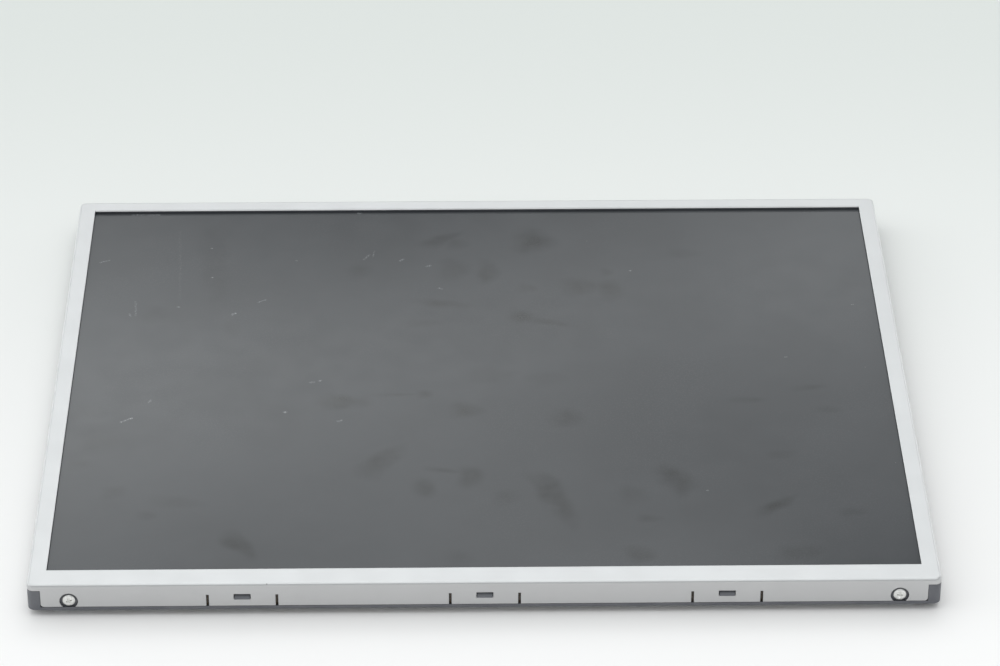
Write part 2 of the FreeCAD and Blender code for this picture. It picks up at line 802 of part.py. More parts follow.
def board_shield():
    body = new_body("board_shield")
    blank = sketch(body, "XY_Plane", "0")
    stem_outline(blank, "shield_x", "shield_near", "shield_far", "shield_stem_x", "shield_stem_far")
    pad(body, blank, "rear_depth")
    hollow = sketch(body, "XY_Plane", "rear_depth")
    stem_outline(hollow, "(shield_x - shield_sheet)", "shield_near + shield_sheet",
                 "shield_far - shield_sheet", "(shield_stem_x - shield_sheet)",
                 "shield_stem_far - shield_sheet")
    pocket(body, hollow, "rear_depth - shield_sheet")
    film_way = sketch(body, "XY_Plane", "rear_depth")
    rectangle(film_way, "shield_post - shield_x", "shield_near - overcut", "shield_x - shield_post",
              "shield_near + shield_sheet")
    pocket(body, film_way, "rear_depth - shield_near_top")
    plug_way = sketch(body, "XY_Plane", "rear_depth")
    rectangle(plug_way, "-socket_width / 2 - socket_clear", "stem_far - socket_depth",
              "socket_width / 2 + socket_clear", "shield_stem_far + overcut")
    pocket(body, plug_way, "rear_depth")
    ears = sketch(body, "XY_Plane", "rear_depth")
    for side in SIDES:
        rectangle(ears, f"{side} * (shield_stem_x - shield_sheet)", "ear_y - ear_width / 2",
                  f"{side} * (shield_stem_x + ear_length)", "ear_y + ear_width / 2")
    pad(body, ears, "shield_sheet", reverse=True)
    holes = sketch(body, "XY_Plane", "rear_depth")
    for across, up in ear_screw_places():
        circle(holes, across, up, "board_screw_diameter + 2 * screw_play")
    pocket(body, holes, "shield_sheet")
    vents = sketch(body, "XY_Plane", "0")
    middle = "(board_near + board_far) / 2"
    for side in SIDES:
        for step in range(VENTS):
            start = f"{side} * (vent_start + {step} * vent_pitch)"
            rectangle(vents, f"{start} - vent_width / 2", f"{middle} - vent_length / 2",
                      f"{start} + vent_width / 2", f"{middle} + vent_length / 2")
    pocket(body, vents, "shield_sheet", reverse=True)


def glass_cell():
    box("array_glass", ("-array_left", "array_near", "ledge_top"),
        ("filter_x", "centre_y + filter_y", "filter_base"))
    box("colour_filter_glass", ("-filter_x", "centre_y - filter_y", "filter_base"),
        ("filter_x", "centre_y + filter_y", "filter_top"))
    box("front_polariser", ("-polariser_x", "centre_y - polariser_y", "filter_top"),
        ("polariser_x", "centre_y + polariser_y", "filter_top + polariser_thickness"))
    rear_x = "(ledge_x - rear_polariser_gap)"
    rear_y = "(ledge_y - rear_polariser_gap)"
    box("rear_polariser", (f"-{rear_x}", f"centre_y - {rear_y}", "ledge_top - polariser_thickness"),
        (rear_x, f"centre_y + {rear_y}", "ledge_top"))


def bezel_gaskets():
    # foam strips between the filter glass and the bezel's lip
    inner_x = "(polariser_x + gasket_gap)"
    inner_y = "(polariser_y + gasket_gap)"
    near_strip = ("centre_y - filter_y", f"centre_y - {inner_y}")
    far_strip = (f"centre_y + {inner_y}", "centre_y + filter_y")
    for name, (low, high) in (("near", near_strip), ("far", far_strip)):
        box(f"gasket_{name}", ("-filter_x", low, "filter_top"), ("filter_x", high, "bezel_under"))
    for name, (low, high) in (("left", ("-filter_x", f"-{inner_x}")), ("right", (inner_x, "filter_x"))):
        box(f"gasket_{name}", (low, near_strip[1], "filter_top"), (high, far_strip[0], "bezel_under"))


def light_stack():
    sheets = (
        ("reflector_sheet", "tray_floor", "reflector_thickness"),
        ("lower_diffuser", "guide_top", "lower_diffuser_thickness"),
        ("prism_sheet", "prism_base", "prism_thickness"),
        ("upper_diffuser", "upper_base", "upper_diffuser_thickness"),
    )
    for label, base, thickness in sheets:
        box(label, ("-guide_x", "centre_y - sheet_y", base),
            ("guide_x", "centre_y + sheet_y", f"{base} + {thickness}"))
    box("light_guide", ("-guide_x", "centre_y - guide_y", "guide_base"),
        ("guide_x", "centre_y + guide_y", "guide_top"))
    for name, side in LEFT_RIGHT:
        for end_name, end in NEAR_FAR:
            low, high = ("-tray_inner_x", "-guide_x") if side < 0 else ("guide_x", "tray_inner_x")
            middle = f"{end} * bumper_pitch / 2"
            box(f"guide_bumper_{name}_{end_name}", (low, f"{middle} - bumper_length / 2", "tray_floor"),
                (high, f"{middle} + bumper_length / 2", "tray_floor + bumper_height"))


def lamps():
    for name, side in NEAR_FAR:
        for layer in ("low", "high"):
            body = new_body(f"lamp_{name}_{layer}")
            section = sketch(body, "YZ_Plane")
            circle(section, f"centre_y + {side} * lamp_y", f"lamp_{layer}", "lamp_diameter")
            pad_middle(body, section, "2 * lamp_half")
        lamp_channel(name, side)
        for end_name, end in LEFT_RIGHT:
            lamp_holder(f"lamp_holder_{name}_{end_name}", side, end)


def lamp_channel(name, side):
    # a folded mirror behind two lamps, with its upper lip over the light guide's edge
    body = new_body(f"lamp_reflector_{name}")
    section = sketch(body, "YZ_Plane")
    back, face = "channel_y", "(channel_y - channel_sheet)"
    lip, foot = "(guide_y - channel_lip)", "(guide_y + channel_gap)"
    corners = [
        (foot, "tray_floor"), (back, "tray_floor"), (back, "guide_top + channel_sheet"),
        (lip, "guide_top + channel_sheet"), (lip, "guide_top"), (face, "guide_top"),
        (face, "tray_floor + channel_sheet"), (foot, "tray_floor + channel_sheet"),
    ]
    polygon(section, [(f"centre_y + {side} * {across}", up) for across, up in corners])
    pad_middle(body, section, "2 * (holder_inner - channel_gap)")


def lamp_holder(label, side, end):
    # a rubber block with one slot round both lamp ends
    body = new_body(label)
    section = sketch(body, "YZ_Plane", f"{end} * holder_inner")
    rectangle(section, f"centre_y + {side} * (guide_y + holder_clear)", "tray_floor",
              f"centre_y + {side} * channel_y", "guide_top + channel_sheet")
    slot = "(lamp_diameter / 2 + holder_play)"
    rectangle(section, f"centre_y + lamp_y * {side} - {slot}", f"lamp_low - {slot}",
              f"centre_y + lamp_y * {side} + {slot}", f"lamp_high + {slot}")
    pad(body, section, "holder_length", reverse=end < 0)


def driver_film(label, role, middle, width, path, chip):
    # a thin film folded along a path drawn in section, with its chip on the inner face
    body = new_body(label)
    section = sketch(body, role, middle)
    polygon(section, path)
    pad_middle(body, section, width)
    block = sketch(body, role, middle)
    rectangle(block, *chip)
    pad_middle(body, block, "chip_length")


def chip_on(inner, low):
    # a chip half way down a film's upright run
    middle = f"(film_level + {low}) / 2"
    return (f"-{inner}", f"{middle} - chip_height / 2",
            f"chip_thickness - {inner}", f"{middle} + chip_height / 2")


def source_films():
    inner = "(film_out_y - film_thickness)"
    bond, land = "array_near + film_bond", "board_near + board_bond"
    path = [(bond, "film_top"), ("-film_out_y", "film_top"), ("-film_out_y", "film_bottom"),
            (land, "film_bottom"), (land, "film_bottom + film_thickness"),
            (f"-{inner}", "film_bottom + film_thickness"), (f"-{inner}", "film_level"), (bond, "film_level")]
    chip = chip_on(inner, "film_bottom")
    for index, spot in enumerate(film_places(), start=1):
        driver_film(f"source_film_{index}", "YZ_Plane", spot, "film_width", path, chip)


def gate_films():
    inner = "(film_out_x - film_thickness)"
    bond, end = "film_bond - array_left", "(wall_base + gate_film_end)"
    path = [(bond, "film_top"), ("-film_out_x", "film_top"), ("-film_out_x", end), (f"-{inner}", end),
            (f"-{inner}", "film_level"), (bond, "film_level")]
    chip = chip_on(inner, end)
    for index, spot in enumerate(gate_places(), start=1):
        driver_film(f"gate_film_{index}", "XZ_Plane", f"-({spot})", "gate_film_width", path, chip)


def turned(kind, spot, turn, height, **radii):
    # a round or prismatic blank that stands on a point
    made = doc.addObject(kind, "Blank")
    made.Placement.Rotation = turn
    for axis, text in zip("xyz", spot):
        made.setExpression(f"Placement.Base.{axis}", bound(text))
    for name, text in radii.items():
        made.setExpression(name, bound(text))
    made.setExpression("Height", bound(height))
    return made


def cylinder(spot, turn, radius, height):
    return turned("Part::Cylinder", spot, turn, height, Radius=radius)


def joined(*solids):
    made = doc.addObject("Part::MultiFuse", "Fusion")
    made.Shapes = list(solids)
    return made


def group(label, solids):
    made = keep(doc.addObject("Part::Compound", label), label)
    made.Links = solids


def side_screws():
    screws = []
    for side in SIDES:
        outwards = Rotation(Vector(1, 0, 0), -90 * side)
        inwards = Rotation(Vector(1, 0, 0), 90 * side)
        for end in SIDES:
            spot = (f"{end} * screw_x", f"{side} * frame_y", "screw_level")
            head = turned("Part::Cone", spot, outwards, "screw_head_height",
                          Radius1="screw_head / 2", Radius2="screw_crown / 2")
            shank = cylinder(spot, inwards, "screw_diameter / 2", "frame_y - screw_end")
            screws.append(joined(head, shank))
    group("side_screws", screws)


def rear_screws(label, places, seat, reach):
    screws = []
    for across, up in places:
        spot = (across, up, seat)
        downwards = Rotation(Vector(1, 0, 0), 180)
        head = cylinder(spot, downwards, "board_screw_head / 2", "board_screw_head_height")
        shank = cylinder(spot, Rotation(), "board_screw_diameter / 2", reach)
        screws.append(joined(head, shank))
    group(label, screws)


def mount_nuts():
    # hexagon nuts caught between the tray and the bezel, in the frame's short walls
    nuts = []
    flats_up = Rotation(Vector(0, 0, 1), 30)
    for side in SIDES:
        outwards = Rotation(Vector(0, 1, 0), 90 * side)
        for end in SIDES:
            row = (f"{end} * mount_y", "mount_level")
            blank = turned("Part::Prism", (f"{side} * tray_x", *row), outwards * flats_up, "frame_x - tray_x",
                           Circumradius="nut_corner")
            bore = cylinder((f"{side} * (tray_x - overcut)", *row), outwards, "mount_thread / 2",
                            "frame_x - tray_x + 2 * overcut")
            nut = doc.addObject("Part::Cut", "Nut")
            nut.Base = blank
            nut.Tool = bore
            nuts.append(nut)
    group("mount_nuts", nuts)


front_bezel()
mould_frame()
bottom_chassis()
glass_cell()
bezel_gaskets()
light_stack()
lamps()
source_films()
gate_films()
control_board()
board_parts()
signal_socket()
board_shield()
side_screws()
rear_screws("board_screws", board_screw_places(), "board_base", "tray_floor - board_base - ear_screw_tip")
rear_screws("shield_screws", ear_screw_places(), "rear_depth - shield_sheet",
            "shield_sheet + chassis_sheet - ear_screw_tip")
mount_nuts()
doc.recompute()

for item in doc.Objects:
    if "Invalid" in item.State or "Error" in item.State:
        raise RuntimeError(f"{item.Label} failed to build")
for piece in pieces:
    if piece.Shape.isNull() or not piece.Shape.isValid():
        raise RuntimeError(f"{piece.Label} has no sound shape")

os.makedirs("parts", exist_ok=True)
for piece in pieces:
    piece.Shape.exportStep(f"parts/{piece.Label}.step")
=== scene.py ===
import json
import math

import bmesh
import bpy
import numpy as np
from mathutils import Matrix, Vector, noise

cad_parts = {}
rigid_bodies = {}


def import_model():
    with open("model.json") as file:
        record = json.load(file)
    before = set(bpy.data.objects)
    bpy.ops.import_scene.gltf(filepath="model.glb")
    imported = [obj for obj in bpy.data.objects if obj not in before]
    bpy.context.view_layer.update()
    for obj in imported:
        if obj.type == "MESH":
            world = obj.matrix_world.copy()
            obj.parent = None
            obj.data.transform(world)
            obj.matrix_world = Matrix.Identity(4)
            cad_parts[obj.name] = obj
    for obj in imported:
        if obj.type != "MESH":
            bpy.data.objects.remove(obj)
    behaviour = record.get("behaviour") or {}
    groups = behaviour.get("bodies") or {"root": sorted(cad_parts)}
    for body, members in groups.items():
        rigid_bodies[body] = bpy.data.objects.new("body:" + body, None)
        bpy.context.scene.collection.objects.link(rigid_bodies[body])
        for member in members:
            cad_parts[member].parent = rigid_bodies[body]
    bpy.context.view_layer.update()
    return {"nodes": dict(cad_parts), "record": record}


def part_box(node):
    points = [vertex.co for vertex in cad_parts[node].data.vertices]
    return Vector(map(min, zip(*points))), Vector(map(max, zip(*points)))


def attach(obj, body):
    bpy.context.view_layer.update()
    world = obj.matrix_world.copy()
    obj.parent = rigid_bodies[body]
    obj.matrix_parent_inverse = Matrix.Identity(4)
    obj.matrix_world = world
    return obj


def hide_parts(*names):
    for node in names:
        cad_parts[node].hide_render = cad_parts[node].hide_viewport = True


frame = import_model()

mm = 0.001
nodeObjects = frame["nodes"]
slotOfNode = {part["node"]: part["material_slot"] for part in frame["record"]["subparts"]}
print("frame loaded:", len(nodeObjects), "nodes")


# the camera stands where the photograph was taken from: a long lens that looks down on the screen
viewpoint = {
    "lens": 144.9,  # millimetres on the sensor below
    "sensor": 36.0,
    "spot": (-0.0165, -1.5704, 1.0412),
    "pitchDown": 32.492,
    "yawRight": 0.926,
    "roll": 0.131,
    "clip": (0.05, 50.0),
}


def aimCamera(view):
    pitch = math.radians(view["pitchDown"])
    yaw = math.radians(view["yawRight"])
    roll = math.radians(view["roll"])
    ahead = Vector((math.sin(yaw) * math.cos(pitch), math.cos(yaw) * math.cos(pitch), -math.sin(pitch)))
    levelRight = Vector((math.cos(yaw), -math.sin(yaw), 0))
    levelUp = levelRight.cross(ahead)
    right = math.cos(roll) * levelRight + math.sin(roll) * levelUp
    up = math.cos(roll) * levelUp - math.sin(roll) * levelRight
    facing = Matrix((right, up, -ahead)).transposed().to_4x4()
    camera = bpy.data.objects.new("photoCamera", bpy.data.cameras.new("photoCamera"))
    camera.data.lens = view["lens"]
    camera.data.sensor_width = view["sensor"]
    camera.data.sensor_fit = "HORIZONTAL"
    camera.data.clip_start, camera.data.clip_end = view["clip"]
    camera.matrix_world = Matrix.Translation(view["spot"]) @ facing
    bpy.context.scene.collection.objects.link(camera)
    bpy.context.scene.camera = camera


aimCamera(viewpoint)
bpy.context.scene.view_settings.view_transform = "Standard"
print("camera set")


# wires up a node tree: what is fed in is a number, a colour, a vector or another node's socket
class Wiring:
    def __init__(self, tree):
        self.tree = tree

    def feed(self, value, socket):
        if isinstance(value, bpy.types.NodeSocket):
            self.tree.links.new(value, socket)
        else:
            socket.default_value = value

    def add(self, kind, settings=None, **inputs):  # From_Min stands for the input From Min
        node = self.tree.nodes.new(kind)
        for key, value in (settings or {}).items():
            setattr(node, key, value)
        for key, value in inputs.items():
            self.feed(value, node.inputs[key.replace("_", " ")])
        return node

    def number(self, operation, *values, clamp=False):
        node = self.add("ShaderNodeMath", {"operation": operation, "use_clamp": clamp})
        for value, socket in zip(values, node.inputs):
            self.feed(value, socket)
        return node.outputs["Value"]

    def vector(self, operation, *values):
        node = self.add("ShaderNodeVectorMath", {"operation": operation})
        for value, socket in zip(values, node.inputs):
            self.feed(value, socket)
        return node.outputs["Value" if operation in ("DOT_PRODUCT", "LENGTH") else "Vector"]

    def between(self, value, low, high, atLow=0.0, atHigh=1.0, step="SMOOTHSTEP"):  # from atLow to atHigh
        node = self.add("ShaderNodeMapRange", {"interpolation_type": step}, Value=value,
                        From_Min=low, From_Max=high, To_Min=atLow, To_Max=atHigh)
        return node.outputs["Result"]


# a material in the making: every texture is read in metres on the object
class Recipe(Wiring):
    def __init__(self, name):
        self.material = bpy.data.materials.new(name)
        self.material.use_nodes = True
        super().__init__(self.material.node_tree)
        self.shader = self.tree.nodes["Principled BSDF"]
        self.place = self.add("ShaderNodeTexCoord").outputs["Object"]

    def stretched(self, stretch):  # the object's place, drawn out along an axis
        return self.add("ShaderNodeMapping", Vector=self.place, Scale=stretch).outputs["Vector"]

    def cloud(self, scale, detail=3.0, stretch=None, rough=0.5):
        where = self.stretched(stretch) if stretch else self.place
        node = self.add("ShaderNodeTexNoise", Vector=where, Scale=scale, Detail=detail, Roughness=rough)
        return node.outputs["Fac"]

    def uneven(self, scale, limits, detail=3.0, steps=(0.3, 0.7)):  # a value that wanders between two limits
        return self.between(self.cloud(scale, detail), *steps, *limits)

    def blend(self, amount, first, second):
        node = self.add("ShaderNodeMix", {"data_type": "RGBA"}, Factor=amount)
        for colour, socket in ((first, node.inputs["A"]), (second, node.inputs["B"])):
            self.feed(colour if isinstance(colour, bpy.types.NodeSocket) else (*colour, 1), socket)
        return node.outputs["Result"]

    def specks(self, perMetre, share, size, solid=0.6):  # round specks in a share of the cells
        cells = self.add("ShaderNodeTexVoronoi", Vector=self.place, Scale=perMetre)
        dots = self.between(cells.outputs["Distance"], size * solid, size, 1.0, 0.0)
        chosen = self.add("ShaderNodeSeparateColor", Color=cells.outputs["Color"]).outputs["Red"]
        return self.number("MULTIPLY", dots, self.number("LESS_THAN", chosen, share))

    def bump(self, height, depth, normal=None):
        node = self.add("ShaderNodeBump", Height=height, Distance=depth)
        if normal is not None:
            self.feed(normal, node.inputs["Normal"])
        self.feed(node.outputs["Normal"], self.shader.inputs["Normal"])

    def grain(self, look, normal=None):  # the fine relief that the making leaves
        height = self.cloud(look["grainScale"], detail=2.0, stretch=look.get("grainStretch"), rough=0.6)
        self.bump(height, look["grainDepth"] * mm, normal)

    def paint(self, colour, roughness, **constants):
        self.feed(colour, self.shader.inputs["Base Color"])
        self.feed(roughness, self.shader.inputs["Roughness"])
        for key, value in constants.items():
            self.shader.inputs[key.replace("_", " ")].default_value = value
        return self.material


# most finishes are one base colour with patches, a grain that follows the making, and uneven gloss;
# scales are per metre, depths and reaches in millimetres
plainFinishes = {
    "chassis_steel": {
        "colour": (0.60, 0.61, 0.62), "patch": (0.575, 0.585, 0.595), "patchScale": 24,
        "gloss": (0.37, 0.43), "metal": 1.0,
        "grainScale": 900, "grainStretch": (0.08, 1, 1), "grainDepth": 0.006,
    },
    "shield_aluminium": {
        "colour": (0.76, 0.77, 0.78), "patch": (0.735, 0.745, 0.76), "patchScale": 30,
        "gloss": (0.29, 0.34), "metal": 1.0,
        "grainScale": 1500, "grainStretch": (0.06, 1, 1), "grainDepth": 0.003,
    },
    "frame_plastic": {
        "colour": (0.108, 0.112, 0.127), "patch": (0.130, 0.134, 0.148), "patchScale": 90,
        "gloss": (0.42, 0.60), "grainScale": 2600, "grainDepth": 0.012,
        "paintedShade": (0.030, 0.031, 0.036), "paintedShadeReach": 3.0,  # painted shade, darker where the sheet stands close
    },
    "rear_film": {
        "colour": (0.10, 0.105, 0.11), "patch": (0.13, 0.13, 0.14), "patchScale": 20,
        "gloss": (0.20, 0.34), "grainScale": 1200, "grainDepth": 0.003,
    },
    "cell_glass": {
        "colour": (0.16, 0.19, 0.19), "patch": (0.20, 0.23, 0.22), "patchScale": 25,
        "gloss": (0.05, 0.12), "grainScale": 300, "grainDepth": 0.001,
    },
    "gasket_foam": {
        "colour": (0.090, 0.094, 0.108), "patch": (0.120, 0.123, 0.135), "patchScale": 1500,
        "gloss": (0.86, 0.97), "grainScale": 2200, "grainDepth": 0.090,
    },
    "diffuser_film": {
        "colour": (0.80, 0.81, 0.82), "patch": (0.74, 0.76, 0.78), "patchScale": 18,
        "gloss": (0.45, 0.62), "grainScale": 3200, "grainDepth": 0.008,
    },
    "reflector_film": {
        "colour": (0.90, 0.90, 0.89), "patch": (0.84, 0.84, 0.82), "patchScale": 16,
        "gloss": (0.22, 0.36), "grainScale": 900, "grainDepth": 0.004,
    },
    "guide_acrylic": {
        "colour": (0.82, 0.86, 0.86), "patch": (0.76, 0.82, 0.82), "patchScale": 14,
        "gloss": (0.06, 0.14), "grainScale": 420, "grainDepth": 0.002,
    },
    "bumper_rubber": {
        "colour": (0.34, 0.34, 0.35), "patch": (0.42, 0.42, 0.43), "patchScale": 500,
        "gloss": (0.62, 0.80), "grainScale": 2400, "grainDepth": 0.020,
    },
    "lamp_glass": {
        "colour": (0.88, 0.88, 0.85), "patch": (0.80, 0.80, 0.78), "patchScale": 120,
        "gloss": (0.08, 0.16),
        "grainScale": 700, "grainStretch": (0.2, 1, 1), "grainDepth": 0.002,
    },
    "lamp_mirror": {
        "colour": (0.84, 0.85, 0.85), "patch": (0.74, 0.75, 0.76), "patchScale": 80,
        "gloss": (0.12, 0.24), "metal": 1.0,
        "grainScale": 1600, "grainStretch": (0.05, 1, 1), "grainDepth": 0.003,
    },
    "holder_rubber": {
        "colour": (0.78, 0.77, 0.72), "patch": (0.68, 0.67, 0.62), "patchScale": 400,
        "gloss": (0.55, 0.75), "grainScale": 2000, "grainDepth": 0.018,
    },
    "chip_resin": {
        "colour": (0.028, 0.028, 0.030), "patch": (0.045, 0.045, 0.047), "patchScale": 700,
        "gloss": (0.48, 0.66), "grainScale": 4000, "grainDepth": 0.010,
    },
    "coil_ferrite": {
        "colour": (0.070, 0.068, 0.066), "patch": (0.11, 0.105, 0.10), "patchScale": 600,
        "gloss": (0.55, 0.78), "grainScale": 2600, "grainDepth": 0.020,
    },
    "socket_plastic": {
        "colour": (0.72, 0.69, 0.60), "patch": (0.64, 0.61, 0.53), "patchScale": 300,
        "gloss": (0.35, 0.52), "grainScale": 2200, "grainDepth": 0.008,
    },
    "screw_steel": {
        "colour": (0.84, 0.84, 0.82), "patch": (0.72, 0.72, 0.70), "patchScale": 700,
        "gloss": (0.26, 0.42), "metal": 1.0, "grainScale": 2500, "grainDepth": 0.006,
    },
    "nut_steel": {
        "colour": (0.70, 0.68, 0.62), "patch": (0.58, 0.56, 0.50), "patchScale": 700,
        "gloss": (0.26, 0.44), "metal": 1.0, "grainScale": 2500, "grainDepth": 0.006,
    },
}
# what the plain finishes share
plainShared = {
    "patchSteps": (0.35, 0.68),  # the noise at which the patches begin, and are full
    "glossPerPatch": 2.7,  # the gloss changes this much finer than the patches
    "paintedShadeSteps": (0.3, 0.8),  # the openness at which the painted shade is full, and gone
    "paintedShadeSamples": 6,
}


def plainFinish(name, look, shared):
    recipe = Recipe(name)
    patches = recipe.between(recipe.cloud(look["patchScale"], detail=4.0), *shared["patchSteps"])
    colour = recipe.blend(patches, look["colour"], look["patch"])
    # painted shade: an ambient occlusion node darkens the colour in recesses and where other surfaces stand
    # close
    if "paintedShade" in look:
        hollow = recipe.add("ShaderNodeAmbientOcclusion", {"samples": shared["paintedShadeSamples"]},
                            Distance=look["paintedShadeReach"] * mm)
        shadedShare = recipe.between(hollow.outputs["AO"], *shared["paintedShadeSteps"], 1.0, 0.0)
        colour = recipe.blend(shadedShare, colour, look["paintedShade"])
    recipe.grain(look)
    gloss = recipe.uneven(look["patchScale"] * shared["glossPerPatch"], look["gloss"])
    return recipe.paint(colour, gloss, Metallic=look.get("metal", 0.0))


finishes = {slot: plainFinish(slot, look, plainShared) for slot, look in plainFinishes.items()}
print("plain finishes:", len(finishes))


# the bezel: zinc-coated sheet, pale and satin, with faint cloudiness, dirt specks and softened edges
bezelFinish = {
    "colour": (0.556, 0.558, 0.562),
    "cloudy": (0.543, 0.545, 0.549),
    "cloudScale": 28,
    "cloudSteps": (0.38, 0.66),
    "dirt": (0.30, 0.30, 0.29),
    "dirtSpecks": (95, 0.10, 0.045),  # cells per metre, share of them with a speck, its size in the cell
    "lip": 0.3,  # the sheet covers this much of the screen film's edge
    "rimFade": (0.03, 0.08),  # the rim's own look ends this far out from the window
    "rollover": 1.0,  # how far the shear drew the window's rim upwards
    "gloss": (0.41, 0.45),
    "glossScale": 75,
    "grainScale": 1100,
    "grainStretch": (0.12, 1, 1),  # the rolling direction runs along the long side
    "grainDepth": 0.008,
    "edgeRound": 0.35,
    "edgeSamples": 4,
}


def windowRim(recipe, look):  # 1 on the sheared rim of the window, 0 elsewhere on the sheet
    low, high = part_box("front_polariser")
    middle, half = (low + high) / 2, (high - low) / 2
    away = recipe.vector("ABSOLUTE", recipe.vector("SUBTRACT", recipe.place, middle))
    apart = recipe.add("ShaderNodeSeparateXYZ", Vector=away)
    overX = recipe.number("SUBTRACT", apart.outputs["X"], half.x - look["lip"] * mm)
    overY = recipe.number("SUBTRACT", apart.outputs["Y"], half.y - look["lip"] * mm)
    whole, gone = look["rimFade"]
    return recipe.between(recipe.number("MAXIMUM", overX, overY), whole * mm, gone * mm, 1.0, 0.0)


def bezelSheet(look):
    recipe = Recipe("bezel_steel")
    cloudy = recipe.between(recipe.cloud(look["cloudScale"], detail=5.0), *look["cloudSteps"])
    colour = recipe.blend(cloudy, look["colour"], look["cloudy"])
    colour = recipe.blend(recipe.specks(*look["dirtSpecks"]), colour, look["dirt"])
    rounded = recipe.add("ShaderNodeBevel", {"samples": look["edgeSamples"]}, Radius=look["edgeRound"] * mm)
    rise = recipe.number("MULTIPLY", windowRim(recipe, look), look["rollover"])
    lift = recipe.add("ShaderNodeCombineXYZ", Z=rise)
    drawnUp = recipe.vector("ADD", rounded.outputs["Normal"], lift.outputs["Vector"])
    recipe.grain(look, recipe.vector("NORMALIZE", drawnUp))
    gloss = recipe.uneven(look["glossScale"], look["gloss"], detail=4.0)
    return recipe.paint(colour, gloss, Metallic=1.0)


finishes["bezel_steel"] = bezelSheet(bezelFinish)


# driver films: dark polyimide with fine leads that run straight down the fold
filmFinish = {
    "film": (0.040, 0.030, 0.022),
    "lead": (0.085, 0.058, 0.036),
    "leadScale": 370,  # a lead every 0.85 mm
    "leadSteps": (0.55, 0.75),  # the wave's height at which a lead begins, and is full
    "leadHeight": 0.01,
    "across": {"source": "X", "gate": "Y"},  # the leads lie side by side along this axis
    "gloss": (0.18, 0.30),
    "glossScale": 300,
}


def driverFilm(look, edge):
    recipe = Recipe(edge + "_film")
    bands = recipe.add("ShaderNodeTexWave", {"bands_direction": look["across"][edge]}, Vector=recipe.place,
                       Scale=look["leadScale"])
    leads = recipe.between(bands.outputs["Fac"], *look["leadSteps"])
    recipe.bump(leads, look["leadHeight"] * mm)
    colour = recipe.blend(leads, look["film"], look["lead"])
    return recipe.paint(colour, recipe.uneven(look["glossScale"], look["gloss"]))


finishes["driver_film"] = driverFilm(filmFinish, "source")
gateFinish = driverFilm(filmFinish, "gate")


# the control board: green laminate with buried tracks and plated holes
boardFinish = {
    "mask": (0.012, 0.085, 0.040),
    "track": (0.022, 0.135, 0.062),
    "trackScale": 320,
    "trackWidth": 0.06,
    "trackHeight": 0.02,
    "paleField": 0.15,  # the lightest field between the tracks, as a share of a track's tone
    "pad": (0.62, 0.56, 0.36),
    "padSpecks": (420, 0.16, 0.16),  # cells per metre, share of them with a pad, its size in the cell
    "gloss": (0.20, 0.32),
    "glossScale": 200,
}


def boardLaminate(look):
    recipe = Recipe("board_laminate")
    pale = look["paleField"]
    bricks = recipe.add("ShaderNodeTexBrick", Vector=recipe.place, Scale=look["trackScale"],
                        Mortar_Size=look["trackWidth"], Color1=(0, 0, 0, 1), Color2=(pale, pale, pale, 1),
                        Mortar=(1, 1, 1, 1))
    tracks = bricks.outputs["Color"]
    colour = recipe.blend(tracks, look["mask"], look["track"])
    colour = recipe.blend(recipe.specks(*look["padSpecks"]), colour, look["pad"])
    recipe.bump(tracks, look["trackHeight"] * mm)
    return recipe.paint(colour, recipe.uneven(look["glossScale"], look["gloss"]))


finishes["board_laminate"] = boardLaminate(boardFinish)
print("sheet, film and board finishes made")


def meshFrom(shape, name):
    mesh = bpy.data.meshes.new(name)
    shape.to_mesh(mesh)
    shape.free()
    return mesh


def newPiece(name, mesh, slot, *stoodFor):
    piece = bpy.data.objects.new(name, mesh)
    bpy.context.scene.collection.objects.link(piece)
    mesh.materials.append(finishes[slot])
    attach(piece, "root")
    if stoodFor:
        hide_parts(*stoodFor)


# the screen: a matt anti-glare film with finger marks, wiped streaks, dust and a few fine scratches
screenSurface = {
    "node": "front_polariser",
    "cell": 1.25,  # millimetres between the points that carry the finger marks
    "film": (0.0440, 0.0469, 0.0516),
    "greasy": (0.0150, 0.0162, 0.0170),
    "streakScale": 160,
    "streakStretch": (1, 0.35, 1),
    "streakSteps": (0.25, 0.70),
    "streakKeeps": (0.65, 1.0),  # share of the grease that the wiping left
    "broadPatchScale": 22,
    "broadPatchSteps": (0.35, 0.70),
    "broadPatchAmount": 0.16,
    "scratch": (0.42, 0.43, 0.44),
    "scratchLeast": 0.18,  # what shows of a scratch between the grains of grit in it
    "shake": 1.0,  # how far a scratch leaves its straight line
    "shakeScale": 700,
    "dust": (0.30, 0.30, 0.31),
    "dustAmount": 0.45,
    "dustSpecks": (150, 0.05, 0.035),  # cells per metre, share of them with a speck, its size in the cell
    "gritScale": 1500,
    "gritSteps": (0.52, 0.66),
    "gritAmount": 0.035,
    "gritPatchScale": 17,
    "gritPatchSteps": (0.42, 0.75),
    "gloss": (0.115, 0.130),
    "glossScale": 70,
    "greaseGloss": -0.02,
    "grainScale": 5200,
    "grainDepth": 0.0008,
    "refraction": 1.42,
}
# how a finger presses: noise sizes in millimetres along x and y with the slice through the noise,
# the rest in shares of a mark's own size or strength
fingerPress = {
    "seed": 31,
    "wobbleNoise": (9.0, 9.0, 3.1),
    "wobble": 0.16,
    "ridgeNoise": (6.5, 4.0, 7.7),
    "ridges": 0.32,
    "body": 0.95,
    "bend": 0.25,  # a pressed finger leaves a bent oval
    "fade": (0.15, 1.65),  # the mark is whole inside the first, and gone past the second
    "strength": 0.88,
}
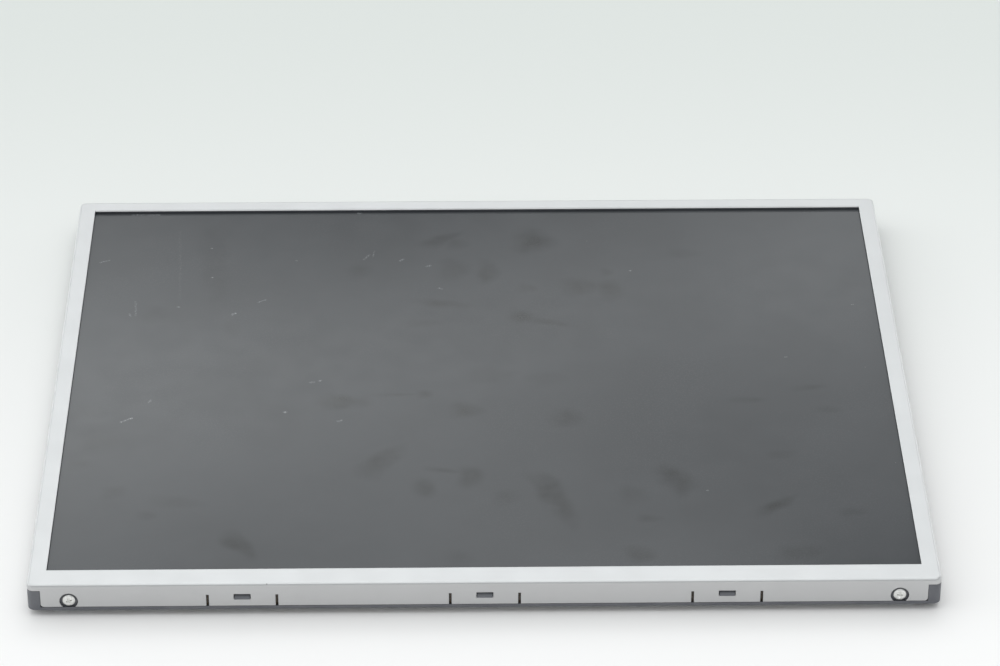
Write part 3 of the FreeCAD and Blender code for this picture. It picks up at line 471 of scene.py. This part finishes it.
# middle x, middle y, width, depth, lean in degrees, strength; millimetres on the screen
fingerMarks = (
    (-16.8, 127.1, 20, 7, 38, 0.6), (-10.1, 122.3, 10, 10, 0, 0.5), (-11.5, 98.8, 15, 16, 0, 0.6),
    (4.3, 96.3, 10, 16, 0, 0.9), (28.0, 124.2, 17, 19, 0, 0.9), (23.4, 80.9, 9, 8, 0, 0.6),
    (48.8, 82.0, 15, 16, 20, 0.9), (63.3, 79.5, 11, 16, 20, 0.9), (62.6, 95.6, 5, 7, 0, 0.6),
    (-17.7, 67.7, 23, 7, -8, 0.7), (20.5, 55.1, 12, 10, 0, 1.0), (33.5, 50.5, 22, 5, -14, 0.7),
    (-28.4, 49.9, 17, 6, 0, 0.5), (-56.5, 97.0, 12, 12, 0, 0.4), (-155.1, 59.5, 12, 14, 0, 0.35),
    (-117.6, 47.9, 7, 18, 0, 0.4), (-128.3, 100.2, 12, 70, 4, 0.35), (-64.1, -17.4, 21, 11, 0, 1.0),
    (-26.0, -11.6, 6, 7, 0, 0.8), (-37.6, -11.5, 23, 2.5, 0, 0.5), (-6.4, -25.2, 13, 11, 0, 0.9),
    (4.3, 5.0, 21, 13, 0, 0.35), (29.9, 0.4, 19, 11, 0, 0.4), (39.5, -32.4, 13, 15, 0, 0.7),
    (-45.0, -66.1, 27, 10, 50, 0.8), (-26.0, -88.1, 8, 14, 10, 0.8), (-17.0, -73.9, 16, 4, -14, 0.6),
    (-5.3, -78.5, 10, 14, 0, 1.0), (9.7, -95.2, 11, 12, 0, 0.4), (32.1, -95.4, 11, 36, 22, 1.0),
    (67.8, -93.9, 11, 12, 0, 0.4), (87.3, -82.0, 13, 20, 25, 0.95), (73.7, -112.6, 9, 5, 0, 0.6),
    (130.9, -103.2, 20, 6.5, 38, 0.9), (68.0, -139.8, 11, 11, 0, 0.7), (-10.6, -142.6, 11, 11, 0, 0.4),
    (-107.0, -131.0, 19, 8, -55, 1.0), (-181.5, -25.3, 14, 13, 0, 0.35), (-174.5, -47.5, 19, 20, 0, 0.42),
    (-164.5, -89.2, 11, 9, 0, 0.5), (-149.1, -108.0, 8, 6, 0, 0.45), (124.4, -17.6, 14, 5, 0, 0.4),
    (153.0, -7.4, 14, 5, 8, 0.4), (160.7, -26.4, 12, 5, 0, 0.4), (134.9, -63.0, 14, 6, 10, 0.4),
    (-181.6, -67.6, 14, 8, 0, 0.4), (-137.2, -97.3, 22, 8, -8, 0.35), (100.8, 112.4, 15, 9, 0, 0.3),
    (137.2, -139.6, 17, 11, 12, 0.5), (164.5, -108.7, 11, 6, 8, 0.35),
)
# start x, start y, end x, end y, width, strength; millimetres on the screen
scratches = (
    (-171.7, 152.6, -158.0, 152.4, 0.7, 0.8), (-59.3, 152.8, -57.8, 152.8, 0.7, 0.9),
    (-184.5, 107.2, -180.0, 109.4, 0.6, 0.7), (-147.1, 135.8, -143.9, 72.8, 1.0, 0.05),
    (-165.0, 71.0, -164.2, 58.3, 0.7, 0.26), (-167.5, 60.0, -166.5, 58.0, 0.7, 0.45),
    (-144.5, 66.1, -144.0, 66.1, 0.7, 1.0), (-118.1, 59.0, -116.8, 60.0, 0.9, 1.0),
    (-106.3, 69.6, -102.6, 72.2, 0.6, 0.7), (-56.0, 108.4, -53.4, 113.0, 0.8, 0.45),
    (-51.5, 111.0, -51.0, 116.5, 0.5, 0.4), (-38.3, 107.2, -36.8, 108.6, 0.8, 0.75),
    (-25.4, 101.8, -23.6, 102.6, 0.8, 0.6), (-19.4, 81.8, -18.2, 80.9, 0.7, 0.7),
    (-79.6, -0.8, -77.5, -0.4, 0.8, 0.75), (-75.4, 0.4, -74.4, 0.6, 0.8, 0.9),
    (-90.7, -25.5, -90.0, -25.5, 0.9, 0.95), (-165.5, -33.0, -160.8, -29.8, 0.8, 1.0),
    (-153.6, -16.6, -152.7, -15.1, 0.8, 0.8), (-65.8, -33.4, -64.4, -32.8, 0.9, 0.8),
    (-131.0, 120.0, -130.6, 120.0, 0.6, 0.7), (-129.5, 93.0, -129.0, 93.0, 0.6, 0.7),
    (-89.0, 108.0, -88.6, 108.0, 0.6, 0.7), (143.5, 18.4, 144.0, 18.4, 0.6, 0.7),
    (178.9, 64.5, 179.4, 64.5, 0.6, 0.7), (100.2, -91.2, 100.6, -91.2, 0.6, 0.7),
    (73.4, 96.9, 73.9, 96.9, 0.6, 0.7),
)


def greaseAt(points, press):  # how greasy each point of the film is, from 0 to 1
    x, y = points[:, 0] / mm, points[:, 1] / mm

    def readNoise(sample, sizeX, sizeY, level):
        return np.array([sample(Vector((px / sizeX, py / sizeY, level))) for px, py in zip(x, y)])

    noise.seed_set(press["seed"])  # noise_vector starts from the clock otherwise
    wobble = press["wobble"] * readNoise(noise.noise_vector, *press["wobbleNoise"])
    ridged = press["body"] + press["ridges"] * readNoise(noise.noise, *press["ridgeNoise"])
    whole, gone = press["fade"]
    grease = np.zeros(len(points))
    for midX, midY, width, depth, lean, strength in fingerMarks:
        turn = math.radians(lean)
        dx = x - midX + width * wobble[:, 0]
        dy = y - midY + depth * wobble[:, 1]
        along = (dx * math.cos(turn) + dy * math.sin(turn)) / (width / 2)
        across = (dy * math.cos(turn) - dx * math.sin(turn)) / (depth / 2)
        reach = np.hypot(along + press["bend"] * across * across, across)
        soft = np.clip((gone - reach) / (gone - whole), 0, 1)
        mark = press["strength"] * strength * soft * soft * (3 - 2 * soft)
        grease = np.maximum(grease, mark * ridged)
    return np.clip(grease, 0, 1)


def screenMesh(look):
    low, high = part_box(look["node"])
    columns = round((high.x - low.x) / (look["cell"] * mm))
    rows = round((high.y - low.y) / (look["cell"] * mm))
    shape = bmesh.new()
    bmesh.ops.create_grid(shape, x_segments=columns, y_segments=rows, size=0.5)
    middle = (low + high) / 2
    bmesh.ops.scale(shape, vec=(high.x - low.x, high.y - low.y, 1), verts=shape.verts)
    bmesh.ops.translate(shape, vec=(middle.x, middle.y, high.z), verts=shape.verts)
    rim = [edge for edge in shape.edges if edge.is_boundary]
    down = bmesh.ops.extrude_edge_only(shape, edges=rim)["geom"]
    lower = [part for part in down if isinstance(part, bmesh.types.BMVert)]
    bmesh.ops.translate(shape, vec=(0, 0, low.z - high.z), verts=lower)
    shape.faces.new(sorted(lower, key=lambda v: math.atan2(v.co.y - middle.y, v.co.x - middle.x)))
    bmesh.ops.recalc_face_normals(shape, faces=shape.faces)
    mesh = meshFrom(shape, "screen_film")
    points = np.empty(len(mesh.vertices) * 3)
    mesh.vertices.foreach_get("co", points)
    grease = greaseAt(points.reshape(-1, 3), fingerPress)
    marks = mesh.attributes.new("grease", "FLOAT", "POINT")
    marks.data.foreach_set("value", grease.astype(np.float32))
    return mesh


def scratchGroup():  # a fine line from Start along Run: full in its middle, 0 past its width
    group = bpy.data.node_groups.new("fineScratch", "ShaderNodeTree")
    wanted = {"Place": "Vector", "Start": "Vector", "Run": "Vector", "Width": "Float", "Strength": "Float"}
    for name, kind in wanted.items():
        group.interface.new_socket(name, in_out="INPUT", socket_type="NodeSocket" + kind)
    group.interface.new_socket("Mask", in_out="OUTPUT", socket_type="NodeSocketFloat")
    wiring = Wiring(group)
    given = wiring.add("NodeGroupInput").outputs
    run = given["Run"]
    fromStart = wiring.vector("SUBTRACT", given["Place"], given["Start"])
    share = wiring.number("DIVIDE", wiring.vector("DOT_PRODUCT", fromStart, run),
                          wiring.vector("DOT_PRODUCT", run, run), clamp=True)
    nearest = wiring.vector("MULTIPLY", run, share)
    away = wiring.vector("LENGTH", wiring.vector("SUBTRACT", fromStart, nearest))
    line = wiring.between(away, 0.0, given["Width"], 1.0, 0.0, "LINEAR")
    wiring.add("NodeGroupOutput", Mask=wiring.number("MULTIPLY", line, given["Strength"]))
    return group


def scratchMarks(recipe, look):  # all the scratches, each a little shaky
    flat = recipe.stretched((1, 1, 0))
    shake = look["shake"] * mm
    ripple = recipe.add("ShaderNodeTexNoise", Vector=flat, Scale=look["shakeScale"], Detail=1.0)
    shift = recipe.add("ShaderNodeMapping", Vector=ripple.outputs["Color"], Scale=(shake, shake, 0),
                       Location=(-shake / 2, -shake / 2, 0))
    shaky = recipe.vector("ADD", flat, shift.outputs["Vector"])
    group = scratchGroup()
    marks = 0.0
    for startX, startY, endX, endY, width, strength in scratches:
        line = recipe.add("ShaderNodeGroup", {"node_tree": group}, Place=shaky, Width=width * mm,
                          Start=(startX * mm, startY * mm, 0), Strength=strength,
                          Run=((endX - startX) * mm, (endY - startY) * mm, 0))
        marks = recipe.number("MAXIMUM", marks, line.outputs["Mask"])
    return marks


def antiGlare(look):
    recipe = Recipe("screen_film")
    grease = recipe.add("ShaderNodeAttribute", {"attribute_name": "grease"}).outputs["Fac"]
    streaks = recipe.cloud(look["streakScale"], stretch=look["streakStretch"])
    kept = recipe.between(streaks, *look["streakSteps"], *look["streakKeeps"])
    worn = recipe.number("MULTIPLY", grease, kept)
    # the film's colour also moves towards the grease tone in broad cloudy patches
    broadCloud = recipe.cloud(look["broadPatchScale"], detail=4.0)
    broadPatches = recipe.between(broadCloud, *look["broadPatchSteps"], 0.0, look["broadPatchAmount"])
    colour = recipe.blend(recipe.number("ADD", worn, broadPatches), look["film"], look["greasy"])
    grit = recipe.between(recipe.cloud(look["gritScale"], detail=1.0), *look["gritSteps"])
    gritty = recipe.cloud(look["gritPatchScale"], detail=2.0)
    gritty = recipe.between(gritty, *look["gritPatchSteps"], 0.0, look["gritAmount"])
    specks = recipe.number("MULTIPLY", recipe.specks(*look["dustSpecks"]), look["dustAmount"])
    dusty = recipe.number("MAXIMUM", recipe.number("MULTIPLY", grit, gritty), specks)
    colour = recipe.blend(dusty, colour, look["dust"])
    broken = recipe.number("MAXIMUM", grit, look["scratchLeast"])
    marks = recipe.number("MULTIPLY", scratchMarks(recipe, look), broken)
    colour = recipe.blend(marks, colour, look["scratch"])
    gloss = recipe.uneven(look["glossScale"], look["gloss"])
    gloss = recipe.number("ADD", gloss, recipe.number("MULTIPLY", worn, look["greaseGloss"]))
    recipe.bump(recipe.cloud(look["grainScale"], detail=1.0), look["grainDepth"] * mm)
    return recipe.paint(colour, gloss, IOR=look["refraction"])


finishes["screen_film"] = antiGlare(screenSurface)
newPiece("screen_film", screenMesh(screenSurface), "screen_film", screenSurface["node"])
print("screen dressed:", len(fingerMarks), "finger marks,", len(scratches), "scratches")


# screws: crowned heads with a cross recess, turned where the CAD screws are; millimetres, and the recess
# is its length, width and depth
screwSets = {
    "side_screws": {
        "along": "Y", "crown": 3.4, "height": 0.8, "shank": 3.0, "reach": 3.2, "recess": (3.0, 0.75, 0.62),
    },
    "board_screws": {
        "along": "Z", "crown": 3.4, "height": 1.2, "shank": 2.5, "reach": 1.8, "recess": (2.7, 0.65, 0.80),
    },
    "shield_screws": {
        "along": "Z", "crown": 3.4, "height": 1.2, "shank": 2.5, "reach": 1.0, "recess": (2.7, 0.65, 0.80),
    },
}
# what the screws share
screwForm = {
    "sides": 40,
    "tip": (0.8, 0.9),  # shares of the shank's radius and reach where the tip narrows
    "underRim": (0.97, 0.1),  # shares of the head's radius and of the rim that the lower edge is eased to
    "rim": 0.22,  # share of the head's height below the dome
    "domeStep": 15,  # degrees
    "flat": 0.5,  # share of the crown inside its last ring
    "bladeTaper": 0.62,  # the recess is narrower at its foot
    "bladeRise": 0.2,  # the cutter stands this far out of the head
    "firstTurn": 23,  # degrees: each screw stopped at another turn
    "nextTurn": 31,
    "sharpEdge": 32,
}


def turnProfile(profile, sides):  # a closed round form from radius and height pairs, both ends on the axis
    shape = bmesh.new()
    rings = []
    for radius, height in profile:
        count = sides if radius > 0 else 1
        angles = [2 * math.pi * k / count for k in range(count)]
        rings.append([shape.verts.new((radius * math.cos(a), radius * math.sin(a), height)) for a in angles])
    for below, above in zip(rings, rings[1:]):
        for k in range(sides):
            corners = [below[k % len(below)], below[(k + 1) % len(below)],
                       above[(k + 1) % len(above)], above[k % len(above)]]
            shape.faces.new(list(dict.fromkeys(corners)))
    bmesh.ops.recalc_face_normals(shape, faces=shape.faces)
    return meshFrom(shape, "turnedForm")


def bladeMesh(length, width, depth, top, form):  # one arm pair of the cross recess
    shape = bmesh.new()
    bmesh.ops.create_cube(shape, size=1)
    for corner in shape.verts:
        taper = form["bladeTaper"] if corner.co.z < 0 else 1.0
        rise = top + form["bladeRise"] * mm if corner.co.z > 0 else top - depth
        corner.co = Vector((corner.co.x * length * taper, corner.co.y * width * taper, rise))
    return meshFrom(shape, "recessBlade")


def cutAway(mesh, cutters):  # the mesh less the cutters
    scene = bpy.context.scene.collection.objects
    body = bpy.data.objects.new("blank", mesh)
    tools = [bpy.data.objects.new("cutter", cutter) for cutter in cutters]
    for item in (body, *tools):
        scene.link(item)
    for tool in tools:
        cut = body.modifiers.new("recess", "BOOLEAN")
        cut.operation = "DIFFERENCE"
        cut.solver = "EXACT"
        cut.object = tool
    left = bpy.data.meshes.new_from_object(body.evaluated_get(bpy.context.evaluated_depsgraph_get()))
    for item in (body, *tools):
        bpy.data.objects.remove(item)
    return left


def crossScrew(head, look, form):
    top, crown, shank = look["height"] * mm, look["crown"] * mm / 2, look["shank"] * mm / 2
    foot = -look["reach"] * mm
    rim = form["rim"] * top
    tipRadius, tipReach = form["tip"]
    edgeRadius, edgeRise = form["underRim"]
    profile = [(0, foot), (shank * tipRadius, foot), (shank, foot * tipReach), (shank, 0)]
    profile += [(head * edgeRadius, 0), (head, edgeRise * rim)]
    for degrees in range(0, 91, form["domeStep"]):
        turn = math.radians(degrees)
        profile.append((head - (head - crown) * (1 - math.cos(turn)), rim + (top - rim) * math.sin(turn)))
    profile += [(crown * form["flat"], top), (0, top)]
    length, width, depth = (size * mm for size in look["recess"])
    blades = [bladeMesh(length, width, depth, top, form), bladeMesh(width, length, depth, top, form)]
    return cutAway(turnProfile(profile, form["sides"]), blades)


def setScrews(node, look, form):
    low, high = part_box(node)
    if look["along"] == "Y":  # heads on the two long walls
        head = (high.z - low.z) / 2
        level = (high.z + low.z) / 2
        places = [Matrix.Translation((x, wall - side * look["height"] * mm, level))
                  @ Matrix.Rotation(math.radians(-90 * side), 4, "X")
                  for x in (low.x + head, high.x - head) for wall, side in ((low.y, -1), (high.y, 1))]
    else:  # heads that face the table
        head = (high.y - low.y) / 2
        seat = low.z + look["height"] * mm
        places = [Matrix.Translation((x, (low.y + high.y) / 2, seat)) @ Matrix.Rotation(math.pi, 4, "X")
                  for x in (low.x + head, high.x - head)]
    screw = crossScrew(head, look, form)
    shape = bmesh.new()
    for number, place in enumerate(places):
        turn = math.radians(form["firstTurn"] + form["nextTurn"] * number)
        copy = screw.copy()
        copy.transform(place @ Matrix.Rotation(turn, 4, "Z"))
        shape.from_mesh(copy)
    mesh = meshFrom(shape, node)
    mesh.shade_smooth()
    mesh.set_sharp_from_angle(angle=math.radians(form["sharpEdge"]))
    newPiece(node + "_turned", mesh, slotOfNode[node], node)


for screwNode, screwLook in screwSets.items():
    setScrews(screwNode, screwLook, screwForm)
print("screws turned:", len(screwSets), "sets")


# the signal socket's contacts: sprung strips along the roof of its mouth; millimetres
contactRow = {
    "node": "signal_socket",
    "slot": "screw_steel",
    "count": 30,
    "pitch": 1.25,
    "width": 0.55,
    "sheet": 0.12,
    "wall": 0.4,  # the socket's own wall above the mouth
    # in from the mouth, and down from its roof
    "line": ((3.55, 0.0), (2.6, 0.0), (1.9, 0.16), (1.3, 0.24), (0.8, 0.12)),
}


def contactStrips(look):
    low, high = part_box(look["node"])
    roof = high.z - look["wall"] * mm
    middle = (low.x + high.x) / 2
    shape = bmesh.new()
    for number in range(look["count"]):
        place = middle + (number - (look["count"] - 1) / 2) * look["pitch"] * mm
        sections = []
        for inward, down in look["line"]:
            y, top = high.y - inward * mm, roof - down * mm
            under = top - look["sheet"] * mm
            corners = ((-1, top), (1, top), (1, under), (-1, under))
            sections.append([shape.verts.new((place + side * look["width"] * mm / 2, y, z))
                             for side, z in corners])
        for back, front in zip(sections, sections[1:]):
            for k in range(4):
                shape.faces.new((back[k], back[(k + 1) % 4], front[(k + 1) % 4], front[k]))
        shape.faces.new(sections[0])
        shape.faces.new(sections[-1])
    bmesh.ops.recalc_face_normals(shape, faces=shape.faces)
    newPiece("signal_contacts", meshFrom(shape, "signal_contacts"), look["slot"])


contactStrips(contactRow)
print("socket contacts:", contactRow["count"])


# carried-over CAD nodes take the finish of their material slot, with the leads turned on the gate films
for nodeName, nodeObject in nodeObjects.items():
    nodeObject.data.materials.clear()
    sideways = nodeName.startswith("gate_film")
    nodeObject.data.materials.append(gateFinish if sideways else finishes[slotOfNode[nodeName]])
print("finishes put on the CAD nodes")


# a pale floor in a light tent: an even sky with brighter and darker fields for sheet and screen to mirror
studio = {
    "floorLitNear": (0.893, 0.876, 0.871),
    "floorShadedFar": (0.668, 0.688, 0.666),
    "fade": (-0.24, 0.46),  # metres along Y between the two tones; the darker far tone is painted shade
    "floorSpan": 16.0,
    "floorRough": 0.9,
    "floorShine": 0.1,
    "sky": (0.965, 0.995, 1.0),
    "skyLevel": 0.56,
}
# azimuth to the right of straight behind, elevation, half width, half height, lean (all in degrees),
# and the brightness that the middle of the field adds
skyPatches = (
    (180, 78, 52, 52, 0, 1.47),  # overhead
    (-90, 42, 44, 40, 0, 0.95),  # the left side, high and low
    (-85, 14, 48, 24, 0, 1.60),
    (80, 14, 42, 22, 0, 0.75),  # the right side
    (-38, 6, 24, 15, 0, 3.40),  # low past the far corners, for the bends of the short sides
    (38, 6, 24, 15, 0, 3.40),
    (0, 46, 48, 29, 0, 1.97),  # behind, for the top of the sheet
    (-9.5, 33.6, 10, 2.9, -7, 1.90),  # brighter fields that the screen mirrors
    (0.5, 32.4, 9, 1.4, -8, 1.30),
    (6.6, 31.65, 3.0, 1.2, 0, 0.95),
    (-1.2, 30.4, 7.5, 2.4, 0, -1.37),  # darker fields that the screen mirrors
    (-3.3, 31.9, 4.2, 0.75, 0, -0.40),
    (4.4, 30.9, 2.2, 0.8, 0, -0.50),
    (4.5, 34.2, 3.9, 2.2, 0, -0.90),
    (8.0, 32.9, 2.4, 1.2, 0, -0.75),
    (-5, 36.4, 9, 2.3, 0, -0.85),
    (8.8, 36.7, 3.8, 2.6, 0, -2.70),
)


def layFloor(look):
    shape = bmesh.new()
    bmesh.ops.create_grid(shape, x_segments=4, y_segments=4, size=look["floorSpan"] / 2)
    mesh = meshFrom(shape, "studioFloor")
    recipe = Recipe("studioFloor")
    depth = recipe.add("ShaderNodeSeparateXYZ", Vector=recipe.place).outputs["Y"]
    # painted shade: the floor's colour darkens from front to back where the light falls off
    tone = recipe.blend(recipe.between(depth, *look["fade"]), look["floorLitNear"], look["floorShadedFar"])
    mesh.materials.append(recipe.paint(tone, look["floorRough"], Specular_IOR_Level=look["floorShine"]))
    floor = bpy.data.objects.new("studioFloor", mesh)
    bpy.context.scene.collection.objects.link(floor)


def paintSky(look):
    world = bpy.data.worlds.new("studioSky")
    bpy.context.scene.world = world
    world.use_nodes = True
    wiring = Wiring(world.node_tree)
    heading = wiring.add("ShaderNodeTexCoord").outputs["Generated"]
    level = look["skyLevel"]
    for azimuth, elevation, halfWidth, halfHeight, lean, added in skyPatches:
        facing = Matrix.Rotation(-math.radians(azimuth), 3, "Z")
        facing = facing @ Matrix.Rotation(math.radians(elevation), 3, "X")
        facing = facing @ Matrix.Rotation(-math.radians(lean), 3, "Y")
        sideways = facing.col[0] / math.sin(math.radians(halfWidth))
        upwards = facing.col[2] / math.sin(math.radians(halfHeight))
        offset = wiring.add("ShaderNodeCombineXYZ", X=wiring.vector("DOT_PRODUCT", heading, sideways),
                            Y=wiring.vector("DOT_PRODUCT", heading, upwards))
        reach = wiring.vector("LENGTH", offset.outputs["Vector"])
        level = wiring.number("ADD", wiring.between(reach, 0.0, 1.0, added, 0.0), level)
    background = world.node_tree.nodes["Background"]
    wiring.feed((*look["sky"], 1), background.inputs["Color"])
    wiring.feed(level, background.inputs["Strength"])


layFloor(studio)
paintSky(studio)
print("floor and sky set:", len(skyPatches), "sky patches")
